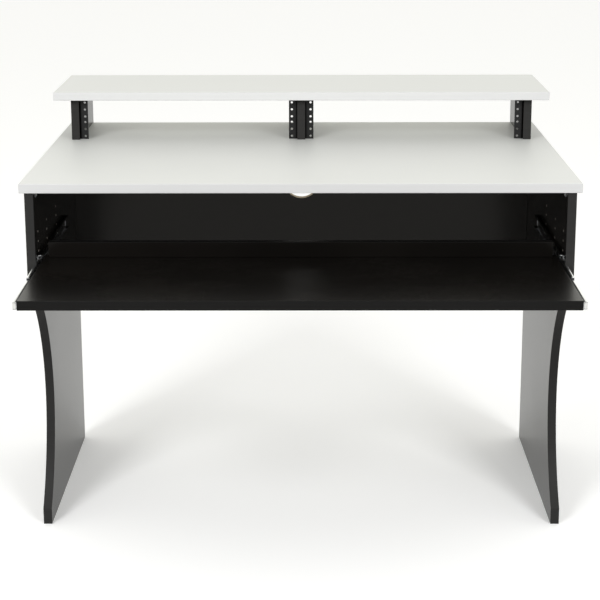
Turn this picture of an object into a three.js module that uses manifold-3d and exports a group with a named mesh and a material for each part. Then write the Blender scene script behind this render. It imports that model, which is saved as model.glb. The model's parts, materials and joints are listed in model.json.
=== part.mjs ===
// A studio desk: a white desktop and a raised white shelf with two rack bays between them,
// on two black side panels, with a black keyboard tray that pulls out on ball-bearing slides.
// Millimetres. +Z is up, -Y faces the player and +X is the player's right.
// The tray stands pulled out, which is the desk's rest pose here.

import * as THREE from "three";
import { mergeVertices } from "three/addons/utils/BufferGeometryUtils.js";
import Module from "manifold-3d";

const wasm = await Module();
wasm.setup();

// Boards
const desktopDepth = 700;
const desktopThickness = 19;
const boardThickness = 18;
const sideOverhang = 10;
const frontOverhang = 4;

// Side panels, whose front edge is straight beside the tray and hollowed in an arc below it
const sidePanelHeight = 728;
const sidePanelDepth = 558;
const legArcGap = 41.5;
const legArcDepth = 116;
const footSetback = 64;
const footHeight = 35;

// Back panel and its cable hole
const backPanelHeight = 330;
const cableHoleRadius = 40;
const cableHoleDropHeight = 92;

// Rack bays: the standard hole pattern sets their width and height, and so the desktop's width
const rackUnits = 2;
const rackHolesPerUnit = 3;
const rackUnitHeight = 44.45;
const rackFirstHoleHeight = 6.35;
const rackHolePitch = 15.875;
const rackHoleSpacing = 465.1;
const rackHoleInset = 12;
const rackHoleRadius = 2.5;
const rackHeadGap = 3.1;
const railWidth = 18.6;
const railDepth = 28;
const railThickness = 2;
const railBendRadius = 3;
const railSetback = 10;
const railEndGap = 0.9;
const railFootGap = 0.4;

// Uprights and top shelf
const uprightCount = 3;
const uprightEndMargin = 35.9;
const uprightDepth = 228;
const shelfDepth = 276;
const shelfOverhang = 20;

// Keyboard tray and the strip that stands along its back
const trayDropHeight = 137;
const trayDepth = 325;
const stripHeight = 31;
const stripInset = 9;

// Telescopic slides, measured inwards from the side panel's inner face
const slideLength = 350;
const slideReserveLength = 44;
const slideSetback = 24;
const slideThickness = 12.7;
const slideHeight = 27;
const slideWallThickness = 1;
const outerFlangeWidth = 9.5;
const middleOffset = 3.3;
const middleFlangeWidth = 7.9;
const innerFlangeWidth = 7.2;
const ballGap = 2.2;
const ballRadius = 0.9;
const ballPitch = 22;
const ballCount = 5;
const cageThickness = 0.4;
const cageFlangeWidth = 6;
const outerCageOffset = 2.5;
const innerCageOffset = 4.7;

// Rows of holes in the side panels, where the slides can be screwed on at other heights
const setHoleRadius = 2.5;
const setHoleDepth = 13;
const setHoleRowPitch = 20;
const setHoleRows = 3;
const setHoleFrontOffset = 37;
const setHoleMiddleOffset = 140;
const setHoleRearOffset = 260;

// Corner brackets under the front of the desktop
const bracketLegLength = 13;
const bracketWidth = 16;
const bracketThickness = 1.6;
const bracketSetback = 29;

// Screws and dowels: head radius, head height, shank radius and length under the head
const railScrew = { head: 3.3, headHeight: 1.8, shank: 1.7, length: 9.5 };
const slideScrew = { head: 3.1, headHeight: 1.2, shank: 2.2, length: 11 };
const runnerScrew = { head: 3, headHeight: 1.1, shank: 1.6, length: 15 };
const bracketScrew = { head: 2.9, headHeight: 1.5, shank: 1.5, length: 11 };
const deskScrew = { head: 5, headHeight: 4, shank: 3.2, length: 46 };
const stripScrew = { head: 4, headHeight: 3, shank: 1.9, length: 36 };
const dowelRadius = 4;
const dowelLength = 30;
const dowelShelfDepth = 12;
const railScrewInset = 14;
const railScrewEndOffset = 14.3;
const uprightFixingInset = 45;
const runnerScrewFrontOffset = 42;
const runnerScrewRearOffset = 268;
const stripScrewEndInset = 160;

// Clearances, cutting overrun and the fineness of round shapes
const fitClearance = 0.3;
const cutOverrunLength = 2;
const screwChamferShare = 0.3;
const screwTipShare = 0.12;
const smallSides = 10;
const holeSides = 16;
const cableHoleSides = 40;
const arcSegments = 24;
const bendSegments = 3;
const ballSides = 6;
const ballBands = 4;

// Places that follow from the sizes above, with Y = 0 at the desktop's front edge
const bayWidth = rackHoleSpacing + 2 * rackHoleInset;
const bayCount = uprightCount - 1;
const desktopWidth =
  bayCount * bayWidth + uprightCount * boardThickness + 2 * uprightEndMargin;
const panelOuterOffset = desktopWidth / 2 - sideOverhang;
const panelInnerOffset = panelOuterOffset - boardThickness;
const panelFront = frontOverhang;
const panelRear = panelFront + sidePanelDepth;
const backPanelFront = panelRear - boardThickness;
const deskTop = sidePanelHeight + desktopThickness;
const uprightPitch = bayWidth + boardThickness;
const uprightHeight = rackUnits * rackUnitHeight + rackHeadGap;
const uprightRear = desktopDepth;
const uprightFront = uprightRear - uprightDepth;
const railFront = uprightFront + railSetback;
const railHeight = rackUnits * rackUnitHeight - railEndGap;
const shelfFront = uprightFront - shelfOverhang;
const shelfRear = shelfFront + shelfDepth;
const shelfBottom = deskTop + uprightHeight;
const slideFront = panelFront + slideSetback;
const trayTopHeight = sidePanelHeight - trayDropHeight;
const slideCentre = trayTopHeight - boardThickness / 2;
const legArcTop = slideCentre - slideHeight / 2 - legArcGap;
const trayTravel = slideLength - slideReserveLength;
const trayFront = slideFront - trayTravel;
const trayWidth = 2 * (panelInnerOffset - slideThickness);
const originY = (trayFront + shelfRear) / 2;

// Finishes
function finish(color, roughness, metalness) {
  return new THREE.MeshStandardMaterial({
    color,
    roughness,
    metalness,
    flatShading: true,
  });
}
const whiteLaminate = finish(0xe3e3de, 0.45, 0);
const blackLaminate = finish(0x1d1c1b, 0.42, 0);
const blackSteel = finish(0x29292a, 0.5, 0.3);
const zincSteel = finish(0xb4b6b8, 0.32, 0.9);
const beech = finish(0xc9a878, 0.7, 0);

// The desk's own frame hangs in the part's frame, whose origin is on the floor
const studioDesk = new THREE.Group();
const desk = new THREE.Group();
desk.position.set(0, -originY, 0);
studioDesk.add(desk);
const tray = new THREE.Group();
tray.position.set(0, trayFront, trayTopHeight);
desk.add(tray);

function place(parent, name, geometry, material, position) {
  const mesh = new THREE.Mesh(geometry, material);
  mesh.name = name;
  mesh.position.set(...position);
  parent.add(mesh);
  return mesh;
}

function solidOf(geometry) {
  const bare = geometry.clone();
  bare.deleteAttribute("normal");
  bare.deleteAttribute("uv");
  const merged = mergeVertices(bare);
  return new wasm.Manifold(
    new wasm.Mesh({
      numProp: 3,
      vertProperties: merged.attributes.position.array,
      triVerts: new Uint32Array(merged.index.array),
    }),
  );
}

function geometryOf(solid) {
  const mesh = solid.getMesh();
  const geometry = new THREE.BufferGeometry();
  const positions = new Float32Array(mesh.vertProperties);
  geometry.setAttribute("position", new THREE.BufferAttribute(positions, 3));
  geometry.setIndex(new THREE.BufferAttribute(mesh.triVerts, 1));
  return geometry;
}

// Joins blanks into one piece, whose faces keep an edge where two blanks meet, and cuts tools from it.
// The tools are placed in the parent's frame, as the piece is.
function form(blanks, position = [0, 0, 0], tools = []) {
  let solid = solidOf(blanks[0]);
  for (const blank of blanks.slice(1)) {
    solid = solid.add(solidOf(blank));
  }
  for (const tool of tools) {
    const local = tool.clone().translate(...position.map((value) => -value));
    solid = solid.subtract(solidOf(local));
  }
  return geometryOf(solid);
}

// A round tool or pin whose axis starts at a point and runs along a direction
function rod(start, direction, radius, length, sides) {
  const turn = new THREE.Quaternion().setFromUnitVectors(
    new THREE.Vector3(0, 1, 0),
    direction,
  );
  return new THREE.CylinderGeometry(radius, radius, length, sides)
    .translate(0, length / 2, 0)
    .applyQuaternion(turn)
    .translate(...start);
}

// A board with holes. A front field, up to where another piece stands on it, is a face of its own.
function board(parent, name, size, position, material, tools, fieldDepth = 0) {
  const [width, depth, height] = size;
  const rest = new THREE.BoxGeometry(width, depth - fieldDepth, height);
  const blanks = [rest.translate(0, fieldDepth / 2, 0)];
  if (fieldDepth > 0) {
    const field = new THREE.BoxGeometry(width, fieldDepth, height);
    blanks.push(field.translate(0, (fieldDepth - depth) / 2, 0));
  }
  place(parent, name, form(blanks, position, tools), material, position);
}

const right = new THREE.Vector3(1, 0, 0);
const left = new THREE.Vector3(-1, 0, 0);
const back = new THREE.Vector3(0, 1, 0);
const up = new THREE.Vector3(0, 0, 1);
const sides = [
  { name: "left", sign: -1, outwards: left, inwards: right },
  { name: "right", sign: 1, outwards: right, inwards: left },
];

// Screws: a low round head on its seat, then a shank with a short taper
function screwGeometry(spec) {
  const chamfer = spec.headHeight * screwChamferShare;
  const tip = spec.length * screwTipShare;
  const profile = [
    new THREE.Vector2(0, -spec.length),
    new THREE.Vector2(spec.shank, tip - spec.length),
    new THREE.Vector2(spec.shank, 0),
    new THREE.Vector2(spec.head, 0),
    new THREE.Vector2(spec.head, spec.headHeight - chamfer),
    new THREE.Vector2(spec.head - chamfer, spec.headHeight),
    new THREE.Vector2(0, spec.headHeight),
  ];
  return new THREE.LatheGeometry(profile, smallSides);
}

// The seat is the point under the head, and the direction is the way the screw is driven
function screw(parent, name, spec, seat, direction, material) {
  const mesh = place(parent, name, screwGeometry(spec), material, seat);
  mesh.quaternion.setFromUnitVectors(new THREE.Vector3(0, -1, 0), direction);
}

// The hole for a screw, through the piece under its head and into the one it holds
function screwHole(spec, seat, direction) {
  const start = direction
    .clone()
    .multiplyScalar(-cutOverrunLength)
    .add(new THREE.Vector3(...seat));
  return rod(
    start.toArray(),
    direction,
    spec.shank + fitClearance,
    spec.length + fitClearance + cutOverrunLength,
    smallSides,
  );
}

// The counterbore that sinks a screw's head
function headRecess(spec, seat, direction) {
  return rod(
    seat,
    direction.clone().negate(),
    spec.head + fitClearance,
    spec.headHeight + cutOverrunLength,
    smallSides,
  );
}

// Upright fixings: screws from under the desktop, and dowels up into the shelf
const uprights = [
  { name: "left", x: -uprightPitch },
  { name: "center", x: 0 },
  { name: "right", x: uprightPitch },
];
const uprightFixings = [
  { name: "front", y: uprightFront + uprightFixingInset },
  { name: "rear", y: uprightRear - uprightFixingInset },
];
const deskScrewSeat = sidePanelHeight + deskScrew.headHeight;
const dowelBottom = shelfBottom + dowelShelfDepth - dowelLength;
const desktopTools = [];
const shelfTools = [];
for (const upright of uprights) {
  upright.tools = [];
  for (const fixing of uprightFixings) {
    const seat = [upright.x, fixing.y, deskScrewSeat];
    const foot = [upright.x, fixing.y, dowelBottom];
    const hole = screwHole(deskScrew, seat, up);
    const socket = rod(
      [upright.x, fixing.y, dowelBottom - fitClearance],
      up,
      dowelRadius + fitClearance,
      dowelLength + 2 * fitClearance,
      smallSides,
    );
    desktopTools.push(hole, headRecess(deskScrew, seat, up));
    shelfTools.push(socket);
    upright.tools.push(hole, socket);
    screw(
      desk,
      `desktop_screw_${upright.name}_${fixing.name}`,
      deskScrew,
      seat,
      up,
      zincSteel,
    );
    place(
      desk,
      `shelf_dowel_${upright.name}_${fixing.name}`,
      rod([0, 0, 0], up, dowelRadius, dowelLength, smallSides),
      beech,
      foot,
    );
  }
}

// Corner brackets: one leg on the side panel, one under the desktop
function bracketGeometry(sign) {
  const outline = new THREE.Shape();
  outline.moveTo(0, 0);
  outline.lineTo(-sign * bracketLegLength, 0);
  outline.lineTo(-sign * bracketLegLength, -bracketThickness);
  outline.lineTo(-sign * bracketThickness, -bracketThickness);
  outline.lineTo(-sign * bracketThickness, -bracketLegLength);
  outline.lineTo(0, -bracketLegLength);
  outline.closePath();
  return new THREE.ExtrudeGeometry(outline, {
    depth: bracketWidth,
    bevelEnabled: false,
  })
    .rotateX(Math.PI / 2)
    .translate(0, bracketWidth / 2, 0);
}
const bracketY = panelFront + bracketSetback;
const bracketScrewReach = (bracketLegLength + bracketThickness) / 2;
const bracketScrewSpread = bracketWidth / 4;
const panelTools = { left: [], right: [] };
for (const side of sides) {
  const corner = [side.sign * panelInnerOffset, bracketY, sidePanelHeight];
  const panelSeat = [
    corner[0] - side.sign * bracketThickness,
    bracketY - bracketScrewSpread,
    sidePanelHeight - bracketScrewReach,
  ];
  const topSeat = [
    corner[0] - side.sign * bracketScrewReach,
    bracketY + bracketScrewSpread,
    sidePanelHeight - bracketThickness,
  ];
  const panelHole = screwHole(bracketScrew, panelSeat, side.outwards);
  const topHole = screwHole(bracketScrew, topSeat, up);
  place(
    desk,
    `corner_bracket_${side.name}`,
    form([bracketGeometry(side.sign)], corner, [panelHole, topHole]),
    zincSteel,
    corner,
  );
  screw(
    desk,
    `bracket_panel_screw_${side.name}`,
    bracketScrew,
    panelSeat,
    side.outwards,
    zincSteel,
  );
  screw(
    desk,
    `bracket_top_screw_${side.name}`,
    bracketScrew,
    topSeat,
    up,
    zincSteel,
  );
  panelTools[side.name].push(panelHole);
  desktopTools.push(topHole);
}

board(
  desk,
  "desktop",
  [desktopWidth, desktopDepth, desktopThickness],
  [0, desktopDepth / 2, sidePanelHeight + desktopThickness / 2],
  whiteLaminate,
  desktopTools,
  uprightFront,
);

board(
  desk,
  "top_shelf",
  [desktopWidth, shelfDepth, boardThickness],
  [0, shelfFront + shelfDepth / 2, shelfBottom + boardThickness / 2],
  whiteLaminate,
  shelfTools,
);

// Rack rails: an angle with its narrow flange on the upright and its face to the front
function railGeometry(sign) {
  const outline = new THREE.Shape();
  outline.moveTo(0, railDepth);
  outline.lineTo(0, railBendRadius);
  const quarter = Math.PI / 2;
  for (let step = 1; step <= bendSegments; step += 1) {
    const angle = (step / bendSegments) * quarter;
    outline.lineTo(
      sign * railBendRadius * (1 - Math.cos(angle)),
      railBendRadius * (1 - Math.sin(angle)),
    );
  }
  outline.lineTo(sign * railWidth, 0);
  outline.lineTo(sign * railWidth, railThickness);
  outline.lineTo(sign * railBendRadius, railThickness);
  outline.lineTo(sign * railThickness, railBendRadius);
  outline.lineTo(sign * railThickness, railDepth);
  outline.closePath();
  return new THREE.ExtrudeGeometry(outline, {
    depth: railHeight,
    bevelEnabled: false,
  });
}
const railBottom = deskTop + railFootGap;
const rackHoleHeights = [];
for (let unit = 0; unit < rackUnits; unit += 1) {
  for (let step = 0; step < rackHolesPerUnit; step += 1) {
    rackHoleHeights.push(
      unit * rackUnitHeight + rackFirstHoleHeight + step * rackHolePitch,
    );
  }
}
const rails = [
  { name: "left_bay_left", upright: 0, sign: 1, drive: left },
  { name: "left_bay_right", upright: 1, sign: -1, drive: right },
  { name: "right_bay_left", upright: 1, sign: 1, drive: left },
  { name: "right_bay_right", upright: 2, sign: -1, drive: right },
];
for (const rail of rails) {
  const upright = uprights[rail.upright];
  const face = upright.x + (rail.sign * boardThickness) / 2;
  const foot = [face, railFront, railBottom];
  const tools = rackHoleHeights.map((height) =>
    rod(
      [
        face + rail.sign * rackHoleInset,
        railFront - cutOverrunLength,
        railBottom + height,
      ],
      back,
      rackHoleRadius,
      railThickness + 2 * cutOverrunLength,
      holeSides,
    ),
  );
  const screwHeights = [
    { name: "low", z: railBottom + railScrewEndOffset },
    { name: "high", z: railBottom + railHeight - railScrewEndOffset },
  ];
  for (const level of screwHeights) {
    const seat = [
      face + rail.sign * railThickness,
      railFront + railScrewInset,
      level.z,
    ];
    const hole = screwHole(railScrew, seat, rail.drive);
    tools.push(hole);
    upright.tools.push(hole);
    screw(
      desk,
      `rail_screw_${rail.name}_${level.name}`,
      railScrew,
      seat,
      rail.drive,
      blackSteel,
    );
  }
  place(
    desk,
    `rack_rail_${rail.name}`,
    form([railGeometry(rail.sign)], foot, tools),
    blackSteel,
    foot,
  );
}
for (const upright of uprights) {
  board(
    desk,
    `upright_${upright.name}`,
    [boardThickness, uprightDepth, uprightHeight],
    [upright.x, uprightFront + uprightDepth / 2, deskTop + uprightHeight / 2],
    blackLaminate,
    upright.tools,
  );
}

// Side panels: the outline in depth and height, with one arc hollowing the front edge
function sidePanelGeometry() {
  const top = new THREE.Vector2(0, legArcTop);
  const foot = new THREE.Vector2(footSetback, footHeight);
  const chord = top.distanceTo(foot);
  const radius = (chord * chord) / (8 * legArcDepth) + legArcDepth / 2;
  const middle = top.clone().add(foot).divideScalar(2);
  const along = foot.clone().sub(top).normalize();
  const forwards = new THREE.Vector2(along.y, -along.x);
  const centre = middle
    .clone()
    .addScaledVector(forwards, radius - legArcDepth);
  const from = Math.atan2(top.y - centre.y, top.x - centre.x);
  const to = Math.atan2(foot.y - centre.y, foot.x - centre.x);
  const outline = new THREE.Shape();
  outline.moveTo(top.x, top.y);
  for (let step = 1; step < arcSegments; step += 1) {
    const angle = from + ((to - from) * step) / arcSegments;
    outline.lineTo(
      centre.x + radius * Math.cos(angle),
      centre.y + radius * Math.sin(angle),
    );
  }
  outline.lineTo(foot.x, foot.y);
  outline.lineTo(foot.x, 0);
  outline.lineTo(sidePanelDepth, 0);
  outline.lineTo(sidePanelDepth, sidePanelHeight);
  outline.lineTo(0, sidePanelHeight);
  outline.closePath();
  return new THREE.ExtrudeGeometry(outline, {
    depth: boardThickness,
    bevelEnabled: false,
  })
    .rotateY(Math.PI / 2)
    .rotateX(Math.PI / 2)
    .translate(-boardThickness / 2, 0, 0);
}
const setHoleColumns = [setHoleFrontOffset, setHoleMiddleOffset, setHoleRearOffset];
for (const side of sides) {
  const tools = panelTools[side.name];
  for (const column of setHoleColumns) {
    for (let row = 0; row <= setHoleRows; row += 1) {
      const mouth = [
        side.sign * (panelInnerOffset - cutOverrunLength),
        panelFront + column,
        slideCentre + row * setHoleRowPitch,
      ];
      tools.push(
        rod(
          mouth,
          side.outwards,
          setHoleRadius,
          setHoleDepth + cutOverrunLength,
          smallSides,
        ),
      );
    }
  }
  const position = [
    side.sign * (panelInnerOffset + boardThickness / 2),
    panelFront,
    0,
  ];
  place(
    desk,
    `side_panel_${side.name}`,
    form([sidePanelGeometry()], position, tools),
    blackLaminate,
    position,
  );
}

board(
  desk,
  "back_panel",
  [2 * panelInnerOffset, boardThickness, backPanelHeight],
  [
    0,
    backPanelFront + boardThickness / 2,
    sidePanelHeight - backPanelHeight / 2,
  ],
  blackLaminate,
  [
    rod(
      [0, backPanelFront - cutOverrunLength, sidePanelHeight - cableHoleDropHeight],
      back,
      cableHoleRadius,
      boardThickness + 2 * cutOverrunLength,
      cableHoleSides,
    ),
  ],
);

// Slide members are channels, drawn inwards from the side panel's face by an offset and a flange
function channel(side, offset, height, flange, wall, length) {
  const inwards = -side.sign;
  const half = height / 2;
  const heel = inwards * offset;
  const mouth = inwards * (offset + flange);
  const web = inwards * (flange > 0 ? offset + wall : offset - wall);
  const outline = new THREE.Shape();
  outline.moveTo(heel, -half);
  outline.lineTo(mouth, -half);
  outline.lineTo(mouth, wall - half);
  outline.lineTo(web, wall - half);
  outline.lineTo(web, half - wall);
  outline.lineTo(mouth, half - wall);
  outline.lineTo(mouth, half);
  outline.lineTo(heel, half);
  outline.closePath();
  return new THREE.ExtrudeGeometry(outline, {
    depth: length,
    bevelEnabled: false,
  })
    .rotateX(Math.PI / 2)
    .translate(0, length, 0);
}

// A ball cage: a thin channel that holds a row of balls along each of its flanges
const cageLength = ballPitch * ballCount;
function cageGeometry(side, offset, raceHeight) {
  const cage = channel(
    side,
    offset,
    raceHeight + cageThickness,
    cageFlangeWidth,
    cageThickness,
    cageLength,
  );
  const balls = [];
  for (let i = 0; i < ballCount; i += 1) {
    for (const sign of [-1, 1]) {
      balls.push(
        new THREE.SphereGeometry(ballRadius, ballSides, ballBands).translate(
          -side.sign * (offset + cageFlangeWidth / 2),
          (i + 1 / 2) * ballPitch,
          (sign * raceHeight) / 2,
        ),
      );
    }
  }
  return form([cage, ...balls]);
}

const middleHeight = slideHeight - 2 * slideWallThickness - 2 * ballGap;
const innerHeight = middleHeight - 2 * slideWallThickness - 2 * ballGap;
const outerRace = middleHeight + ballGap;
const innerRace = innerHeight + ballGap;
const middleTravel = trayTravel / 2;
const middleFront = slideFront - middleTravel;
const outerCageFront =
  (slideFront + middleFront + slideLength - cageLength) / 2;
const innerCageFront =
  (middleFront + trayFront + slideLength - cageLength) / 2;

for (const side of sides) {
  const face = side.sign * panelInnerOffset;
  const outerTools = [];
  for (const column of setHoleColumns) {
    const seat = [
      face - side.sign * slideWallThickness,
      panelFront + column,
      slideCentre,
    ];
    outerTools.push(screwHole(slideScrew, seat, side.outwards));
  }
  const outerPlace = [face, slideFront, slideCentre];
  const outer = channel(
    side,
    0,
    slideHeight,
    outerFlangeWidth,
    slideWallThickness,
    slideLength,
  );
  place(
    desk,
    `slide_outer_${side.name}`,
    form([outer], outerPlace, outerTools),
    zincSteel,
    outerPlace,
  );
  const outerScrews = [
    { name: "front", column: setHoleFrontOffset },
    { name: "rear", column: setHoleRearOffset },
  ];
  for (const fixing of outerScrews) {
    screw(
      desk,
      `slide_screw_${side.name}_${fixing.name}`,
      slideScrew,
      [
        face - side.sign * slideWallThickness,
        panelFront + fixing.column,
        slideCentre,
      ],
      side.outwards,
      zincSteel,
    );
  }
  const middle = channel(
    side,
    middleOffset,
    middleHeight,
    middleFlangeWidth,
    slideWallThickness,
    slideLength,
  );
  place(desk, `slide_middle_${side.name}`, middle, zincSteel, [
    face,
    middleFront,
    slideCentre,
  ]);
  place(
    desk,
    `ball_cage_outer_${side.name}`,
    cageGeometry(side, outerCageOffset, outerRace),
    zincSteel,
    [face, outerCageFront, slideCentre],
  );
  place(
    desk,
    `ball_cage_inner_${side.name}`,
    cageGeometry(side, innerCageOffset, innerRace),
    zincSteel,
    [face, innerCageFront, slideCentre],
  );

  // The inner member rides on the tray's edge
  const inner = channel(
    side,
    slideThickness,
    innerHeight,
    -innerFlangeWidth,
    slideWallThickness,
    slideLength,
  );
  const innerPlace = [face, 0, -boardThickness / 2];
  const runnerScrews = [
    { name: "front", y: runnerScrewFrontOffset },
    { name: "rear", y: runnerScrewRearOffset },
  ];
  const innerTools = [];
  side.trayTools = [];
  for (const fixing of runnerScrews) {
    const seat = [
      side.sign * (panelInnerOffset - slideThickness + slideWallThickness),
      fixing.y,
      -boardThickness / 2,
    ];
    const hole = screwHole(runnerScrew, seat, side.inwards);
    innerTools.push(hole);
    side.trayTools.push(hole);
    screw(
      tray,
      `runner_screw_${side.name}_${fixing.name}`,
      runnerScrew,
      seat,
      side.inwards,
      zincSteel,
    );
  }
  place(
    tray,
    `slide_inner_${side.name}`,
    form([inner], innerPlace, innerTools),
    zincSteel,
    innerPlace,
  );
}

// Keyboard tray, and the strip that keeps things from sliding off its back
const stripWidth = trayWidth - 2 * stripInset;
const stripFront = trayDepth - boardThickness;
const stripTools = [];
for (const side of sides) {
  const seat = [
    side.sign * (stripWidth / 2 - stripScrewEndInset),
    stripFront + boardThickness / 2,
    stripScrew.headHeight - boardThickness,
  ];
  const hole = screwHole(stripScrew, seat, up);
  stripTools.push(hole);
  side.trayTools.push(hole, headRecess(stripScrew, seat, up));
  screw(tray, `strip_screw_${side.name}`, stripScrew, seat, up, zincSteel);
}
board(
  tray,
  "keyboard_tray",
  [trayWidth, trayDepth, boardThickness],
  [0, trayDepth / 2, -boardThickness / 2],
  blackLaminate,
  sides.flatMap((side) => side.trayTools),
  stripFront,
);
board(
  tray,
  "tray_rear_strip",
  [stripWidth, boardThickness, stripHeight],
  [0, stripFront + boardThickness / 2, stripHeight / 2],
  blackLaminate,
  stripTools,
);

export default studioDesk;
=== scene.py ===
# %% [markdown]
# A studio desk, dressed in Blender
#
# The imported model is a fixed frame: every board, rail, slide and screw already has its real size and
# its place in it. This lesson builds the finished pieces inside that frame with Blender's own modelling
# operators, gives each its surface, and lets each ride on the body that carries it. One scene then
# looks right with the keyboard tray pulled out, as in the photograph, and with the tray pushed in.

# %% Load the frame
import json
import math
from collections import namedtuple

import bpy
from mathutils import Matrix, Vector


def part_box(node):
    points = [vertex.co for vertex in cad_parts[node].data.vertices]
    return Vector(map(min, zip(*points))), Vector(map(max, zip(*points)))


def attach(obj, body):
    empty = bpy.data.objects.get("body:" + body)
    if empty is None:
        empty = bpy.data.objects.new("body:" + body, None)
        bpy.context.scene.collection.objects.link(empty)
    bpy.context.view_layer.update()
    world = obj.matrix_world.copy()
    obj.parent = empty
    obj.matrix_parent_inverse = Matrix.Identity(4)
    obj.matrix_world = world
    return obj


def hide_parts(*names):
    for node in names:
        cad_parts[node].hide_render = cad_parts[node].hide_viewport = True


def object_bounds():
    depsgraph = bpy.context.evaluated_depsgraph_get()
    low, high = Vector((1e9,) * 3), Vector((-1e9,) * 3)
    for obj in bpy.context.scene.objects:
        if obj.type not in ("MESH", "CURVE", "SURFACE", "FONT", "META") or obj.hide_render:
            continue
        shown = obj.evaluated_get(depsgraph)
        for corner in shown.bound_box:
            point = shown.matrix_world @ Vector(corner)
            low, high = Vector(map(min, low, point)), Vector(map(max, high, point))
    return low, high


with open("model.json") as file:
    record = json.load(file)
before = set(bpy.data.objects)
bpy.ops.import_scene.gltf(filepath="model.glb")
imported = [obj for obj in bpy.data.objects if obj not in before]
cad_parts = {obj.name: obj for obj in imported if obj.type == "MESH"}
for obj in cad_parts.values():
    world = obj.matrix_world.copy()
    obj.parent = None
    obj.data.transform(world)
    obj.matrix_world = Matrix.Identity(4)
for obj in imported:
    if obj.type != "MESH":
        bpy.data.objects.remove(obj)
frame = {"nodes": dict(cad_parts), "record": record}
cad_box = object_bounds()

MM = 0.001
X, Y, Z = range(3)
nodes = frame["nodes"]
bodies = frame["record"]["behaviour"]["bodies"]
body_of_node = {node: body for body, members in bodies.items() for node in members}

# %% [markdown]
# The camera comes first, because it decides what has to be good. The photograph was taken from about
# 3 m in front and 1.4 m up with a long lens. Its uprights hardly lean together, which a lens moved
# parallel to the film does; a small upward shift of the frame gives some of that here, and the rest
# of the tilt is a plain turn of the camera.

# %% Camera at the photograph's viewing angle
SENSOR_WIDTH = 36.0
PHOTO_WIDTH = 600
FOCAL_PIXELS = 1545.2
CAMERA_PLACE = (0.0143, -3.1745, 1.384)
CAMERA_PITCH = 13.156
CAMERA_ROLL = 0.11
CAMERA_YAW = 0.265
FRAME_SHIFT = -0.15

bpy.ops.object.camera_add(
    location=CAMERA_PLACE,
    rotation=[math.radians(turn) for turn in (90 - CAMERA_PITCH, CAMERA_ROLL, CAMERA_YAW)],
)
camera = bpy.context.object
camera.name = "camera"
camera.data.sensor_width = SENSOR_WIDTH
camera.data.lens = FOCAL_PIXELS / PHOTO_WIDTH * SENSOR_WIDTH
camera.data.shift_y = FRAME_SHIFT
bpy.context.scene.camera = camera
print("camera:", round(camera.data.lens, 1), "mm lens")

# %% [markdown]
# The sky and the finishes are written as formulas. `Wire` wraps one output socket and turns Python's
# operators into Math nodes, so a pattern reads as the sum that it is. `Pattern` is a tree of nodes:
# its `node` method adds any node from its settings and the values of its sockets. `Finish` is the
# pattern of one material, and feeds the material's shader.

# %% Sockets that can be added and multiplied
class Wire:
    """One output socket of a pattern, with arithmetic."""

    def __init__(self, pattern, socket):
        self.pattern = pattern
        self.socket = socket

    def maths(self, operation, other):
        return self.pattern.node("ShaderNodeMath", {"operation": operation}, {0: self, 1: other})

    def __add__(self, other):
        return self.maths("ADD", other)

    __radd__ = __add__

    def __mul__(self, other):
        return self.maths("MULTIPLY", other)

    def between(self, low, high):
        """0 below low, 1 above high, and smooth in between."""
        settings = {"interpolation_type": "SMOOTHSTEP"}
        return self.pattern.node("ShaderNodeMapRange", settings, {0: self, 1: low, 2: high})


print("wires ready")

# %% Trees of nodes
MIX_SHARE, MIX_FIRST, MIX_SECOND, MIX_RESULT = 0, 6, 7, 2


class Pattern:
    """A tree of nodes, with the coordinates that its patterns are laid out in."""

    def __init__(self, tree, coordinates):
        self.tree = tree
        self.place = self.node("ShaderNodeTexCoord", output=coordinates)

    def node(self, kind, settings=None, values=None, output=0):
        node = self.tree.nodes.new(kind)
        for name, value in (settings or {}).items():
            if name == "stops":
                self.set_stops(node.color_ramp, value)
            else:
                setattr(node, name, value)
        for socket, value in (values or {}).items():
            self.feed(node.inputs[socket], value)
        return Wire(self, node.outputs[output])

    def set_stops(self, ramp, stops):
        while len(ramp.elements) < len(stops):
            ramp.elements.new(1.0)
        for element, (position, colour) in zip(ramp.elements, stops):
            element.position = position
            element.color = colour

    def feed(self, socket, value):
        if isinstance(value, Wire):
            self.tree.links.new(value.socket, socket)
        else:
            socket.default_value = value

    def mix(self, share, first, second):
        """The first colour where the share is 0, and the second where it is 1."""
        settings = {"data_type": "RGBA", "clamp_factor": True}
        values = {MIX_SHARE: share, MIX_FIRST: first, MIX_SECOND: second}
        return self.node("ShaderNodeMix", settings, values, output=MIX_RESULT)


print("patterns ready")

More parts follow.
